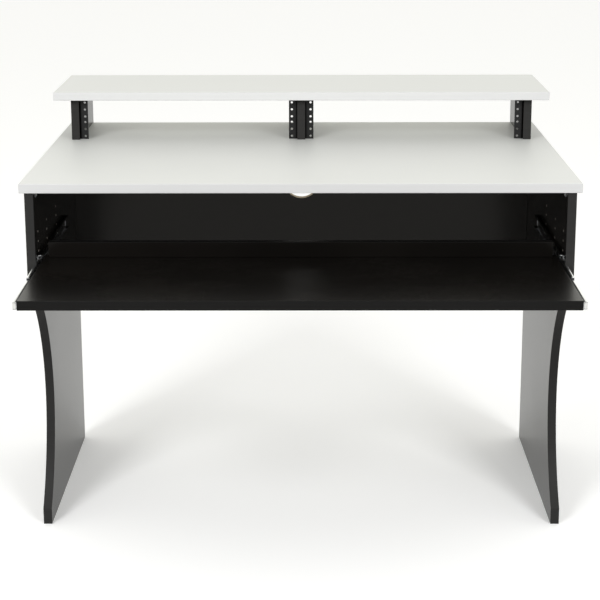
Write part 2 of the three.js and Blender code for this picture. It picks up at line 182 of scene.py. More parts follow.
# %% Materials with named patterns
class Finish(Pattern):
    """One procedural material: its pattern, and the shader that it feeds."""

    def __init__(self, name, **constants):
        self.material = bpy.data.materials.new(name)
        self.material.use_nodes = True
        super().__init__(self.material.node_tree, "Object")
        self.shader = self.tree.nodes["Principled BSDF"]
        for socket, value in constants.items():
            self.shader.inputs[socket.replace("_", " ")].default_value = value

    def stretched(self, scale):
        """The piece's own coordinates, closer together along the axes with a large scale."""
        if scale is None:
            return self.place
        return self.node("ShaderNodeMapping", None, {"Vector": self.place, "Scale": scale})

    def noise(self, scale, detail, stretch=None):
        """Soft clouds: a large scale makes them small."""
        values = {"Vector": self.stretched(stretch), "Scale": scale, "Detail": detail}
        return self.node("ShaderNodeTexNoise", None, values)

    def cells(self, scale, output="Distance", stretch=None):
        """Cells around scattered points: the distance to the nearest one, or a colour for each."""
        values = {"Vector": self.stretched(stretch), "Scale": scale}
        return self.node("ShaderNodeTexVoronoi", None, values, output)

    def ramp(self, share, stops):
        return self.node("ShaderNodeValToRGB", {"stops": stops}, {0: share})

    def relief(self, height, depth, strength):
        """Bumps of a real depth, in metres."""
        values = {"Height": height, "Distance": depth, "Strength": strength}
        self.feed(self.shader.inputs["Normal"], self.node("ShaderNodeBump", None, values))

    def surface(self, colour, roughness):
        """Feed the shader's colour and roughness, and give back the material."""
        self.feed(self.shader.inputs["Base Color"], colour)
        self.feed(self.shader.inputs["Roughness"], roughness)
        return self.material


print("finish tools ready")

# %% [markdown]
# The photograph is a cut-out on pure white. Black laminate has hardly a colour of its own, so what is
# seen on it is mostly the room in its satin surface: the insides of the legs turn grey because they
# are seen at a grazing angle against a white backdrop, and the faces towards the camera stay dark
# because the studio was dark there, but for its two lamps. So the sky is bright behind the desk and
# dim in front, over a pale floor that glows a little, and two soft boxes stand left and right of the
# camera, high enough to light the upper faces and the front edges alike. The upper halves of the
# legs' arcs look down and are nearly black, so little light came up from the floor there: it is left
# out of the light that matt surfaces gather, and only their gloss shows it.

# %% Sky
SKY_BEHIND = (1.29, 1.285, 1.2, 1)
SKY_IN_FRONT = (0.35, 0.35, 0.355, 1)
SKY_ABOVE = (0.7, 0.7, 0.7, 1)
FRONT_TO_BACK = (-0.6, 0.5)
SIDES_TO_TOP = (0.45, 0.95)

scene = bpy.context.scene
scene.view_settings.view_transform = "Standard"
scene.world = bpy.data.worlds.new("white_room")
scene.world.use_nodes = True
sky = Pattern(scene.world.node_tree, "Generated")


def direction(axis):
    """One part of the direction that is looked in."""
    return sky.node("ShaderNodeSeparateXYZ", None, {0: sky.place}, output=axis)


sides = sky.mix(direction("Y").between(*FRONT_TO_BACK), SKY_IN_FRONT, SKY_BEHIND)
whole = sky.mix(direction("Z").between(*SIDES_TO_TOP), sides, SKY_ABOVE)
sky.feed(sky.tree.nodes["Background"].inputs["Color"], whole)
print("sky:", scene.world.name)

# %% Lamps and floor
LAMPS_AIM = Vector((0.0, 0.0, 0.7))
LAMPS = {
    "left_soft_box": {"size": 1.3, "place": (-2.2, -3.4, 2.9), "power": 95.0},
    "right_soft_box": {"size": 1.3, "place": (2.2, -3.4, 2.7), "power": 80.0},
}
FLOOR_SIZE = 30.0

for name, settings in LAMPS.items():
    turn = (LAMPS_AIM - Vector(settings["place"])).to_track_quat("-Z", "Y").to_euler()
    bpy.ops.object.light_add(type="AREA", location=settings["place"], rotation=turn)
    lamp = bpy.context.object
    lamp.name = name
    lamp.data.size = settings["size"]
    lamp.data.energy = settings["power"]

bpy.ops.mesh.primitive_plane_add(size=FLOOR_SIZE, location=(0, 0, cad_box[0].z))
floor = bpy.context.object
floor.name = "floor"
floor.visible_diffuse = False
print("floor at", round(cad_box[0].z, 4), "m")

# %% [markdown]
# The white boards are chipboard under a melamine foil. Real foil is pressed against a plate with a
# fine pearl grain, which takes the mirror out of its gloss, and it picks up faint smudges where hands
# rest. Both are too weak to be seen as marks; together they keep a large white face from looking like
# paint. The edge band is another plastic, smoother than the foil. Its colour is a shade whiter than
# the foil's, and that is painted light: it stands for the light that the front edges get from the
# floor, which matt surfaces here do not gather.

# %% White laminate and its edge band
def white_laminate():
    finish = Finish("white_laminate", IOR=1.48)
    darker, lighter = (0.640, 0.647, 0.624, 1), (0.656, 0.662, 0.640, 1)
    smudge = finish.noise(scale=3.1, detail=3)
    pearl = finish.noise(scale=900, detail=1)
    foil = finish.mix(smudge.between(0.35, 0.7), darker, lighter)
    speck_tone = (0.625, 0.630, 0.609, 1)
    speck = finish.cells(scale=260).between(0.05, 0.09)
    finish.relief(pearl, depth=0.03 * MM, strength=0.5)
    return finish.surface(finish.mix(speck, speck_tone, foil), roughness=0.4 + smudge * 0.1 + pearl * 0.05)


def edge_band(name, gloss, roughness, dark, light):
    finish = Finish(name, IOR=gloss)
    drag = finish.noise(scale=500, detail=1, stretch=(0.03, 0.03, 1))
    finish.relief(drag, depth=0.01 * MM, strength=0.4)
    return finish.surface(finish.mix(drag, dark, light), roughness=roughness + drag * 0.08)


WHITE_LAMINATE = white_laminate()
# The band's whiter colour is painted light on the boards' front edges.
WHITE_BAND_WITH_PAINTED_LIGHT = edge_band(
    "white_edge_band",
    gloss=1.5,
    roughness=0.3,
    dark=(0.715, 0.718, 0.709, 1),
    light=(0.740, 0.742, 0.736, 1),
)
print("white finishes:", WHITE_LAMINATE.name, WHITE_BAND_WITH_PAINTED_LIGHT.name)

# %% [markdown]
# The black boards have the same build with a satin black foil. It is smooth enough to throw back a
# soft image: in the photograph a pale spot lies on the tray, below and in front of the cable hole,
# and it is the hole's reflection, thrown up by the tray and down again by the desktop's underside.
# The desktop's underside gets this black foil too, and that is painted shade: it stands for an
# underside that lies in shadow, so that what the tray reflects of it stays dark. It and the tray wear
# a foil with more gloss than the panels have. Roughness decides how far the spot spreads. The bands
# are another plastic again. That of the uprights and panels is matt and greyer, so it darkens where a
# leg's arc turns away from the lamps, and that of the tray and its strip is nearly as black as the
# foil. All of it was set by comparing renders with the photograph.

# %% Black laminate
FOIL_SHEEN = (1.0, 0.975, 0.93, 1)


def black_laminate(name, gloss, roughness):
    finish = Finish(name, IOR=gloss, Specular_Tint=FOIL_SHEEN)
    darker, lighter = (0.0042, 0.0037, 0.0032, 1), (0.0065, 0.0056, 0.0048, 1)
    smudge = finish.noise(scale=4.3, detail=3)
    pearl = finish.noise(scale=1100, detail=1)
    dust_tone = (0.02, 0.019, 0.018, 1)
    dust = finish.cells(scale=420).between(0.03, 0.06)
    foil = finish.mix(smudge.between(0.3, 0.7), darker, lighter)
    finish.relief(pearl, depth=0.02 * MM, strength=0.3)
    satin = roughness + smudge * 0.05 + pearl * 0.03
    return finish.surface(finish.mix(dust, dust_tone, foil), roughness=satin)


BLACK_LAMINATE = black_laminate("black_laminate", gloss=1.225, roughness=0.15)
TRAY_LAMINATE = black_laminate("tray_laminate", gloss=1.28, roughness=0.23)
# The desktop's black underside is painted shade for an underside in shadow.
UNDERSIDE_PAINTED_SHADE = black_laminate("underside_laminate", gloss=2.3, roughness=0.2)
print("black foils:", BLACK_LAMINATE.name, TRAY_LAMINATE.name, UNDERSIDE_PAINTED_SHADE.name)

# %% Black edge bands
BLACK_BAND_ROUGHNESS = 0.36
BLACK_BAND = edge_band(
    "black_edge_band",
    gloss=1.15,
    roughness=BLACK_BAND_ROUGHNESS,
    dark=(0.029, 0.0284, 0.0275, 1),
    light=(0.038, 0.0372, 0.036, 1),
)
TRAY_BAND = edge_band(
    "tray_edge_band",
    gloss=1.2,
    roughness=BLACK_BAND_ROUGHNESS,
    dark=(0.004, 0.0038, 0.0036, 1),
    light=(0.0075, 0.0072, 0.0068, 1),
)
print("black bands:", BLACK_BAND.name, TRAY_BAND.name)

# %% [markdown]
# Wherever a board is drilled the foil stops and the chipboard shows: short flakes of pale and darker
# wood pressed together with a little glue. It is the tan ring of the cable hole, and the reason why
# the small holes beside the slides read as light dots on a black panel. The walls of those small
# holes get a darker tone of the same pattern, and that is painted shade: the panels' inner faces lie
# in shadow there.

# %% Raw chipboard
TONE_STOPS = (0.0, 0.35, 0.7, 1.0)
CUT_TONES = (
    (0.58, 0.45, 0.31, 1),
    (0.74, 0.62, 0.46, 1),
    (0.84, 0.75, 0.60, 1),
    (0.90, 0.83, 0.71, 1),
)
# The darker tones of the small holes' walls are painted shade.
PAINTED_SHADE_HOLE_TONES = (
    (0.20, 0.172, 0.138, 1),
    (0.29, 0.263, 0.225, 1),
    (0.35, 0.327, 0.293, 1),
    (0.40, 0.385, 0.355, 1),
)


def raw_chipboard(name, tones):
    finish = Finish(name, IOR=1.4)
    flake = finish.cells(scale=520, output="Color", stretch=(1, 1, 2.6))
    tone = finish.node("ShaderNodeSeparateColor", None, {0: flake})
    grain = finish.noise(scale=1500, detail=2)
    stops = list(zip(TONE_STOPS, tones))
    finish.relief(tone * 0.7 + grain * 0.3, depth=0.25 * MM, strength=0.8)
    return finish.surface(finish.ramp(tone * 0.75 + grain * 0.25, stops), roughness=0.8 + grain * 0.15)


CHIPBOARD = raw_chipboard("raw_chipboard", CUT_TONES)
PAINTED_SHADE_HOLE_WALL = raw_chipboard("bored_chipboard", PAINTED_SHADE_HOLE_TONES)
print("chipboard finishes:", CHIPBOARD.name, PAINTED_SHADE_HOLE_WALL.name)

# %% Beech
def beech_wood():
    finish = Finish("beech_wood", IOR=1.45)
    spring, autumn = (0.55, 0.36, 0.21, 1), (0.68, 0.49, 0.31, 1)
    fleck_tone = (0.38, 0.22, 0.12, 1)
    fibre = finish.noise(scale=900, detail=3, stretch=(1, 1, 0.06))
    fleck = finish.noise(scale=420, detail=1, stretch=(1, 1, 0.2)).between(0.6, 0.68)
    wood = finish.mix(fibre, spring, autumn)
    finish.relief(fibre, depth=0.05 * MM, strength=0.5)
    return finish.surface(finish.mix(fleck, wood, fleck_tone), roughness=0.6 + fibre * 0.2)


BEECH = beech_wood()
print("dowel finish:", BEECH.name)

# %% [markdown]
# The metals differ mainly in how rough they are. The slides are cold-rolled steel with a bright zinc
# coat and fine marks along their length, the balls are polished, the brackets and wood screws have a
# duller zinc, and the rack rails and their screws are black: powder paint has a visible orange peel.

# %% Bright metals
def slide_steel():
    finish = Finish("slide_steel", Metallic=1.0)
    darker, lighter = (0.56, 0.57, 0.58, 1), (0.68, 0.69, 0.70, 1)
    drawn = finish.noise(scale=1400, detail=2, stretch=(1, 0.012, 1))
    cloud = finish.noise(scale=45, detail=2)
    finish.relief(drawn, depth=0.01 * MM, strength=0.6)
    return finish.surface(finish.mix(cloud, darker, lighter), roughness=0.09 + drawn * 0.12 + cloud * 0.05)


def bearing_steel():
    finish = Finish("bearing_steel", Metallic=1.0)
    darker, lighter = (0.66, 0.67, 0.68, 1), (0.76, 0.77, 0.78, 1)
    oil = finish.noise(scale=300, detail=1)
    return finish.surface(finish.mix(oil, darker, lighter), roughness=0.12 + oil * 0.08)


def dull_zinc(name, darker, lighter):
    finish = Finish(name, Metallic=1.0)
    crystal = finish.cells(scale=700, output="Color")
    tone = finish.node("ShaderNodeSeparateColor", None, {0: crystal})
    stain = finish.noise(scale=120, detail=3)
    finish.relief(stain, depth=0.02 * MM, strength=0.5)
    mottle = tone * 0.4 + stain * 0.6
    return finish.surface(finish.mix(mottle, darker, lighter), roughness=0.34 + stain * 0.16)


SLIDE_STEEL = slide_steel()
BEARING_STEEL = bearing_steel()
BRACKET_ZINC = dull_zinc("bracket_zinc", (0.20, 0.20, 0.205, 1), (0.30, 0.30, 0.31, 1))
SCREW_ZINC = dull_zinc("screw_zinc", (0.52, 0.52, 0.51, 1), (0.66, 0.66, 0.64, 1))
print("metal finishes:", SLIDE_STEEL.name, BEARING_STEEL.name, BRACKET_ZINC.name, SCREW_ZINC.name)

# %% Black paint, screw coat and plastic
def black_powder_paint():
    finish = Finish("black_powder_paint", IOR=1.38)
    darker, lighter = (0.006, 0.006, 0.006, 1), (0.010, 0.010, 0.0102, 1)
    peel = finish.noise(scale=620, detail=2)
    cloud = finish.noise(scale=60, detail=2)
    finish.relief(peel, depth=0.08 * MM, strength=0.7)
    return finish.surface(finish.mix(cloud, darker, lighter), roughness=0.42 + peel * 0.14)


def black_screw_coat():
    finish = Finish("black_screw_coat", Metallic=0.7)
    coated, rubbed = (0.02, 0.02, 0.021, 1), (0.06, 0.06, 0.06, 1)
    rub = finish.noise(scale=900, detail=2)
    return finish.surface(finish.mix(rub.between(0.45, 0.75), coated, rubbed), roughness=0.35 + rub * 0.15)


def black_plastic():
    finish = Finish("black_plastic", IOR=1.46)
    darker, lighter = (0.010, 0.010, 0.010, 1), (0.016, 0.016, 0.016, 1)
    grain = finish.noise(scale=1300, detail=1)
    finish.relief(grain, depth=0.02 * MM, strength=0.5)
    return finish.surface(finish.mix(grain, darker, lighter), roughness=0.4 + grain * 0.12)


POWDER_PAINT = black_powder_paint()
SCREW_BLACK = black_screw_coat()
BLACK_PLASTIC = black_plastic()
print("black finishes:", POWDER_PAINT.name, SCREW_BLACK.name, BLACK_PLASTIC.name)

# %% The floor's finish
FLOOR_COLOUR = (0.95, 0.95, 0.945, 1)
FLOOR_PALER = (0.955, 0.955, 0.95, 1)
FLOOR_GLOW = 0.2


def pale_floor():
    finish = Finish("pale_floor", IOR=1.3, Emission_Color=FLOOR_COLOUR, Emission_Strength=FLOOR_GLOW)
    cloud = finish.noise(scale=1.7, detail=2)
    return finish.surface(finish.mix(cloud, FLOOR_COLOUR, FLOOR_PALER), roughness=0.75 + cloud * 0.1)


floor.data.materials.append(pale_floor())
print("floor finish:", floor.data.materials[0].name)

# %% [markdown]
# The pieces are made as by hand: a block, a rod or a plane from the Add menu, shaped in edit mode and
# finished with applied modifiers. A few helpers keep that short. `settle` moves a piece's place into
# its mesh, because the frame wants every finished object at the origin, and `pick` goes into edit
# mode with just the faces or edges selected that a test picks by their place or normal.

# %% Modelling helpers
SHARP_ANGLE = 0.6


def work_on(piece):
    """Leave this object alone selected and active."""
    bpy.ops.object.select_all(action="DESELECT")
    piece.select_set(True)
    bpy.context.view_layer.objects.active = piece


def settle(piece):
    """Move a piece's place, turn and scale into its mesh."""
    work_on(piece)
    bpy.ops.object.transform_apply(location=True, rotation=True, scale=True)


def pick(piece, faces=None, edges=None):
    """Go into edit mode with only the faces or edges selected that a test picks."""
    work_on(piece)
    bpy.ops.object.mode_set(mode="EDIT")
    bpy.ops.mesh.select_mode(type="FACE" if faces else "EDGE")
    bpy.ops.mesh.select_all(action="DESELECT")
    bpy.ops.object.mode_set(mode="OBJECT")
    for part in piece.data.polygons if faces else piece.data.edges:
        if (faces or edges)(part):
            part.select = True
            for corner in part.vertices:
                piece.data.vertices[corner].select = True
    bpy.ops.object.mode_set(mode="EDIT")


def face_outwards(piece):
    """Turn all normals outwards and leave edit mode."""
    work_on(piece)
    bpy.ops.object.mode_set(mode="EDIT")
    bpy.ops.mesh.select_all(action="SELECT")
    bpy.ops.mesh.normals_make_consistent(inside=False)
    bpy.ops.object.mode_set(mode="OBJECT")


def modify(piece, kind, **settings):
    """Add one modifier with its settings and apply it."""
    work_on(piece)
    bpy.ops.object.modifier_add(type=kind)
    modifier = piece.modifiers[-1]
    for name, value in settings.items():
        setattr(modifier, name, value)
    bpy.ops.object.modifier_apply(modifier=modifier.name)


def soften(piece, width, segments=2):
    """Round every sharp edge by a small width."""
    modify(piece, "BEVEL", width=width, segments=segments, limit_method="ANGLE", angle_limit=SHARP_ANGLE)


print("modelling helpers ready")

# %% Blocks, rods and cutting
def add_block(name, low, high):
    """A block between two opposite corners."""
    low, high = Vector(low), Vector(high)
    bpy.ops.mesh.primitive_cube_add(size=1, location=(low + high) / 2)
    block = bpy.context.object
    block.name = name
    block.scale = high - low
    settle(block)
    return block


def add_rod(name, start, end, radius, sides=24):
    """A round rod from one point to another."""
    start, end = Vector(start), Vector(end)
    run = end - start
    bpy.ops.mesh.primitive_cylinder_add(
        vertices=sides,
        radius=radius,
        depth=run.length,
        location=(start + end) / 2,
        rotation=run.to_track_quat("Z", "Y").to_euler(),
    )
    rod = bpy.context.object
    rod.name = name
    settle(rod)
    return rod


def join(pieces, name):
    """Make several objects one."""
    bpy.ops.object.select_all(action="DESELECT")
    for piece in pieces:
        piece.select_set(True)
    bpy.context.view_layer.objects.active = pieces[0]
    if len(pieces) > 1:
        bpy.ops.object.join()
    pieces[0].name = name
    return pieces[0]


def cut_away(piece, cutters, wall):
    """Cut one or more shapes out of a piece. The fresh faces get the wall's finish."""
    cutter = join(cutters, "cutter")
    cutter.data.materials.clear()
    cutter.data.materials.append(wall)
    modify(
        piece,
        "BOOLEAN",
        operation="DIFFERENCE",
        solver="EXACT",
        material_mode="TRANSFER",
        object=cutter,
    )
    bpy.data.objects.remove(cutter)


print("blocks, rods and cutters ready")

# %% [markdown]
# A finished piece is handed to the frame in one place. It rides on the body of the CAD node that it
# stands for and hides that node. The node's material slot is looked up from its name, but not kept.

# %% Handing a piece to the frame
SLOT_WORDS = (
    ("desktop_screw", "zinc_screws"),
    ("desktop", "white_laminate"),
    ("top_shelf", "white_laminate"),
    ("rail_screw", "black_screws"),
    ("rack_rail", "black_steel"),
    ("slide_screw", "zinc_screws"),
    ("slide_", "slide_steel"),
    ("ball_cage", "bearing_steel"),
    ("corner_bracket", "bracket_steel"),
    ("shelf_dowel", "beech"),
    ("screw", "zinc_screws"),
    ("", "black_laminate"),
)
SMOOTH_BELOW = math.radians(35)
made = []


def hand_over(piece, node, replaces=True):
    work_on(piece)
    bpy.ops.object.shade_smooth_by_angle(angle=SMOOTH_BELOW)
    modify(piece, "WEIGHTED_NORMAL", keep_sharp=True)
    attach(piece, body_of_node[node])
    next(slot for word, slot in SLOT_WORDS if word in node)
    if replaces:
        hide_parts(node)
    made.append(piece.name)


print("slots:", sorted({slot for word, slot in SLOT_WORDS}))

# %% [markdown]
# A screw is turned from round bar, so it is drawn here as a lathe works: a disc is extruded and
# scaled from ring to ring along its axis. The thread is a row of fine rings, which looks the same as a
# helix at this size. A tapered cross is then cut in the head. Each of the six kinds is modelled once.

# %% Turning and the driver's cross
BLADE_SLIMNESS = 5
BLADE_POINT = (0.35, 0.6, 1)


def lathe(name, rings, sides=20):
    """A round piece along Z, from its rings of radius and height."""
    radius, height = rings[0]
    bpy.ops.mesh.primitive_circle_add(
        vertices=sides, radius=radius, fill_type="NGON", location=(0, 0, height)
    )
    piece = bpy.context.object
    piece.name = name
    settle(piece)
    pick(piece, faces=lambda face: True)
    for next_radius, next_height in rings[1:]:
        rise = (0, 0, next_height - height)
        bpy.ops.mesh.extrude_region_move(TRANSFORM_OT_translate={"value": rise})
        share = next_radius / radius
        bpy.ops.transform.resize(value=(share, share, 1), center_override=(0, 0, next_height))
        radius, height = next_radius, next_height
    bpy.ops.object.mode_set(mode="OBJECT")
    face_outwards(piece)
    return piece


def cross_cutter(reach, depth, top):
    """Two blades that narrow towards the point of a cross-head driver."""
    half_width = reach / BLADE_SLIMNESS
    blades = []
    for turn in (0, 90):
        blade = add_block("blade", (-reach, -half_width, top), (reach, half_width, top + depth))
        pick(blade, faces=lambda face: face.normal.z > 0.9)
        bpy.ops.transform.resize(value=BLADE_POINT, center_override=(0, 0, top + depth))
        bpy.ops.object.mode_set(mode="OBJECT")
        blade.rotation_euler.z = math.radians(turn)
        settle(blade)
        blades.append(blade)
    modify(blades[0], "BOOLEAN", operation="UNION", solver="EXACT", object=blades[1])
    bpy.data.objects.remove(blades[1])
    return blades[0]


print("lathe ready")

# %% Six kinds of screw
# Radius and height of the head, radius and length of the shank, and the thread's pitch, in mm.
ScrewSize = namedtuple("ScrewSize", "head head_height shank length pitch")
SIZES_IN_MM = {
    "rail_screw": (3.3, 1.8, 1.7, 9.5, 0.9),
    "slide_screw": (3.1, 1.2, 2.2, 11.0, 1.6),
    "runner_screw": (3.0, 1.1, 1.6, 15.0, 1.4),
    "bracket": (2.9, 1.5, 1.5, 11.0, 1.3),
    "desktop_screw": (5.0, 4.0, 3.2, 46.0, 3.2),
    "strip_screw": (4.0, 3.0, 1.9, 36.0, 2.4),
}
SCREW_SIZES = {kind: ScrewSize(*(size * MM for size in sizes)) for kind, sizes in SIZES_IN_MM.items()}

# Shares of the head: its chamfer, the rings of its rounded edge counted in chamfers, and its recess.
HEAD_CHAMFER = 0.35
HEAD_EDGE = ((1.6, 0), (0.5, 0.35), (0, 1))
RECESS_REACH = 0.62
RECESS_DEPTH = 0.7
RECESS_PROUD = 0.1 * MM

# Shares of the shank's radius, of the pitch and of the length.
NECK = 0.82
THREAD_ROOT = 0.78
THREAD_SLOPE = 0.45
TIP_START = 0.88
TIP_TOP = 0.7
TIP_END = 0.12


def screw_model(kind):
    """A screw with its seat at the origin and its shank along Z."""
    size = SCREW_SIZES[kind]
    chamfer = size.head_height * HEAD_CHAMFER
    rings = [(size.head - chamfer * inset, chamfer * drop - size.head_height) for inset, drop in HEAD_EDGE]
    rings += [(size.head, 0), (size.shank * NECK, 0)]
    height = size.pitch
    tip = size.length * TIP_START
    while height < tip:
        rings += [(size.shank * THREAD_ROOT, height - size.pitch * THREAD_SLOPE), (size.shank, height)]
        height += size.pitch
    rings += [(size.shank * TIP_TOP, tip), (size.shank * TIP_END, size.length)]
    screw = lathe(kind + "_model", rings)
    screw.data.materials.append(SCREW_BLACK if kind == "rail_screw" else SCREW_ZINC)
    recess = cross_cutter(
        reach=size.head * RECESS_REACH,
        depth=size.head_height * RECESS_DEPTH,
        top=-size.head_height - RECESS_PROUD,
    )
    cut_away(screw, [recess], SCREW_BLACK)
    return screw


screw_models = {kind: screw_model(kind) for kind in SCREW_SIZES}
print("screw models:", ", ".join(screw_models))

# %% [markdown]
# Where each screw goes is read from its CAD node. The widest points of the node are its head, so the
# head's side of the box is where the driver comes from, and the other way is the way it is driven.

# %% Finding each screw's seat
WIDEST = 0.98


def screw_kind(node):
    return next(kind for kind in SCREW_SIZES if node.startswith(kind))


def screw_seat(node):
    """The point under a screw's head, and the direction it is driven in."""
    low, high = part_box(node)
    middle = (low + high) / 2
    extent = high - low
    axis = max((X, Y, Z), key=lambda index: extent[index])
    along = Vector((0, 0, 0))
    along[axis] = 1
    offsets = [vertex.co - middle for vertex in nodes[node].data.vertices]
    radii = [(offset - along * offset.dot(along)).length for offset in offsets]
    head = [offset for offset, radius in zip(offsets, radii) if radius > max(radii) * WIDEST]
    direction = -along if sum(offset.dot(along) for offset in head) > 0 else along
    head_height = SCREW_SIZES[screw_kind(node)].head_height
    return middle - direction * (extent[axis] / 2 - head_height), direction


def copy_of(model, name):
    """A copy with a mesh of its own."""
    work_on(model)
    bpy.ops.object.duplicate(linked=False)
    twin = bpy.context.object
    twin.name = name
    return twin


print("seats can be found")

# %% Screws in their places
screw_nodes = [node for node in nodes if "screw" in node]
for node in screw_nodes:
    seat, direction = screw_seat(node)
    screw = copy_of(screw_models[screw_kind(node)], node + "_threaded")
    screw.location = seat
    screw.rotation_euler = direction.to_track_quat("Z", "Y").to_euler()
    settle(screw)
    hand_over(screw, node)
for model in screw_models.values():
    bpy.data.objects.remove(model)
print("screws in place:", len(screw_nodes))

# %% [markdown]
# The dowels that carry the shelf are beech pins. Real ones have grooves along them, which let glue
# and air out, and chamfered ends: here every other side face is inset and pushed in a little.

# %% Dowels
DOWEL_CHAMFER = 1.2 * MM
DOWEL_SIDES = 28
FLUTE_MARGIN = 0.15 * MM
FLUTE_DEPTH = 0.3 * MM


def fluted_dowel(node):
    low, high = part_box(node)
    radius, length, ends = (high.x - low.x) / 2, high.z - low.z, DOWEL_CHAMFER
    rings = [(radius - ends, 0), (radius, ends), (radius, length - ends), (radius - ends, length)]
    dowel = lathe(node + "_fluted", rings, DOWEL_SIDES)
    dowel.data.materials.append(BEECH)
    staves = sorted(
        (face.index for face in dowel.data.polygons if abs(face.normal.z) < 0.1),
        key=lambda index: math.atan2(*dowel.data.polygons[index].normal.xy),
    )
    pick(dowel, faces=lambda face: face.index in staves[::2])
    bpy.ops.mesh.inset(thickness=FLUTE_MARGIN, depth=-FLUTE_DEPTH, use_individual=True)
    bpy.ops.object.mode_set(mode="OBJECT")
    dowel.location = ((low.x + high.x) / 2, (low.y + high.y) / 2, low.z)
    settle(dowel)
    hand_over(dowel, node)


dowel_nodes = [node for node in nodes if node.startswith("shelf_dowel")]
for node in dowel_nodes:
    fluted_dowel(node)
print("dowels:", len(dowel_nodes))

# %% [markdown]
# A flat-pack board is a sawn block of chipboard: foil on its two faces, a band of plastic ironed on
# along its edges, and the band's corners scraped round by a millimetre. So a board here is a block in
# its node's box with rounded edges, foil on the faces across its thickness and band everywhere else.
# Holes are drilled last, so their rims stay as sharp as real ones.

# %% Drills
HOLE_PLAY = 0.3 * MM
DRILL_START = 2 * MM


def screw_holes(screws, sink_head=False):
    """Rods that drill the way of each screw, and a wider one for a sunk head."""
    rods = []
    for node in screws:
        size = SCREW_SIZES[screw_kind(node)]
        seat, direction = screw_seat(node)
        start = seat - direction * (0 if sink_head else DRILL_START)
        end = seat + direction * (size.length + HOLE_PLAY)
        rods.append(add_rod("drill", start, end, size.shank + HOLE_PLAY, sides=16))
        if sink_head:
            out = seat - direction * (size.head_height + DRILL_START)
            rods.append(add_rod("drill", out, seat, size.head + HOLE_PLAY))
    return rods


def dowel_holes(dowels):
    rods = []
    for node in dowels:
        low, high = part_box(node)
        x, y = (low.x + high.x) / 2, (low.y + high.y) / 2
        start, end = (x, y, low.z - HOLE_PLAY), (x, y, high.z + HOLE_PLAY)
        rods.append(add_rod("drill", start, end, (high.x - low.x) / 2 + HOLE_PLAY))
    return rods


def named(*words):
    """The CAD nodes whose names hold all the words."""
    return [node for node in nodes if all(word in node for word in words)]


print("drills ready")

# %% White boards
BAND_ROUNDING = 1.1 * MM
FOIL_SIDE = 0.95


def laminated(piece, foil, band, across, round_by, painted_shade_underside=None):
    """Round a board's edges, and finish its faces, its edges and, with painted shade if given, its hidden
    lower face.
    """
    soften(piece, round_by, segments=3)
    for finish in filter(None, (foil, band, painted_shade_underside)):
        piece.data.materials.append(finish)
    for face in piece.data.polygons:
        slope = face.normal[across]
        face.material_index = 0 if abs(slope) > FOIL_SIDE else 1
        if painted_shade_underside and slope < -FOIL_SIDE:
            face.material_index = 2


def board(node, foil, band, across, drills=(), round_by=BAND_ROUNDING, painted_shade_underside=None):
    """A board that fills its node's box, with foil on the two faces across one axis."""
    piece = add_block(node + "_board", *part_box(node))
    laminated(piece, foil, band, across, round_by, painted_shade_underside)
    for drill in drills:
        cut_away(piece, [drill], CHIPBOARD)
    hand_over(piece, node)


desk_drills = screw_holes(named("desktop_screw"), sink_head=True) + screw_holes(named("bracket_top_screw"))
# The desktop's underside gets painted shade.
board("desktop", WHITE_LAMINATE, WHITE_BAND_WITH_PAINTED_LIGHT, Z, desk_drills, painted_shade_underside=UNDERSIDE_PAINTED_SHADE)
board("top_shelf", WHITE_LAMINATE, WHITE_BAND_WITH_PAINTED_LIGHT, Z, dowel_holes(dowel_nodes))
print("white boards: desktop and top shelf")

# %% Uprights, tray and strip
RAILS_ON = {
    "left": ["left_bay_left"],
    "center": ["left_bay_right", "right_bay_left"],
    "right": ["right_bay_right"],
}
for side, rails in RAILS_ON.items():
    drills = screw_holes(named("desktop_screw", side)) + dowel_holes(named("shelf_dowel", side))
    for rail in rails:
        drills += screw_holes(named("rail_screw", rail))
    board("upright_" + side, BLACK_LAMINATE, BLACK_BAND, X, drills)

strip_screws = named("strip_screw")
tray_drills = screw_holes(strip_screws) + screw_holes(named("runner_screw"))
board("keyboard_tray", TRAY_LAMINATE, TRAY_BAND, Z, tray_drills)
board("tray_rear_strip", BLACK_LAMINATE, TRAY_BAND, Y, screw_holes(strip_screws))
print("uprights:", len(RAILS_ON), "and the tray with its strip")

# %% Back panel with its cable hole
CABLE_HOLE_RADIUS = 40 * MM
CABLE_HOLE_HEIGHT = 0.636
BACK_ROUNDING = 0.3 * MM
CUT_PAST = 5 * MM

low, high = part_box("back_panel")
cable_hole = add_rod(
    "drill",
    (0, low.y - CUT_PAST, CABLE_HOLE_HEIGHT),
    (0, high.y + CUT_PAST, CABLE_HOLE_HEIGHT),
    CABLE_HOLE_RADIUS,
    sides=96,
)
board("back_panel", BLACK_LAMINATE, BLACK_BAND, Y, [cable_hole], BACK_ROUNDING)
print("boards so far:", len(made) - len(screw_nodes) - len(dowel_nodes))

# %% [markdown]
# A side panel's front edge is straight beside the tray. Below that one arc hollows it, and it ends in
# a low foot. Three points of the CAD outline fix the arc's circle, a rod of that radius cuts it, and
# a block takes off what is left in front of the foot. The rows of small holes are drilled last.

# %% Finding the arc
INWARDS = {"left": 1, "right": -1}
TOUCHING = 0.1 * MM
FOOT_BELOW = 0.2
BACK_STRIP = 0.1


def circle_through(first, second, third):
    """Centre and radius of the circle through three flat points."""
    (ax, ay), (bx, by), (cx, cy) = first, second, third
    scale = 2 * (ax * (by - cy) + bx * (cy - ay) + cx * (ay - by))
    a, b, c = ax * ax + ay * ay, bx * bx + by * by, cx * cx + cy * cy
    x = (a * (by - cy) + b * (cy - ay) + c * (ay - by)) / scale
    y = (a * (cx - bx) + b * (ax - cx) + c * (bx - ax)) / scale
    return x, y, math.hypot(ax - x, ay - y)


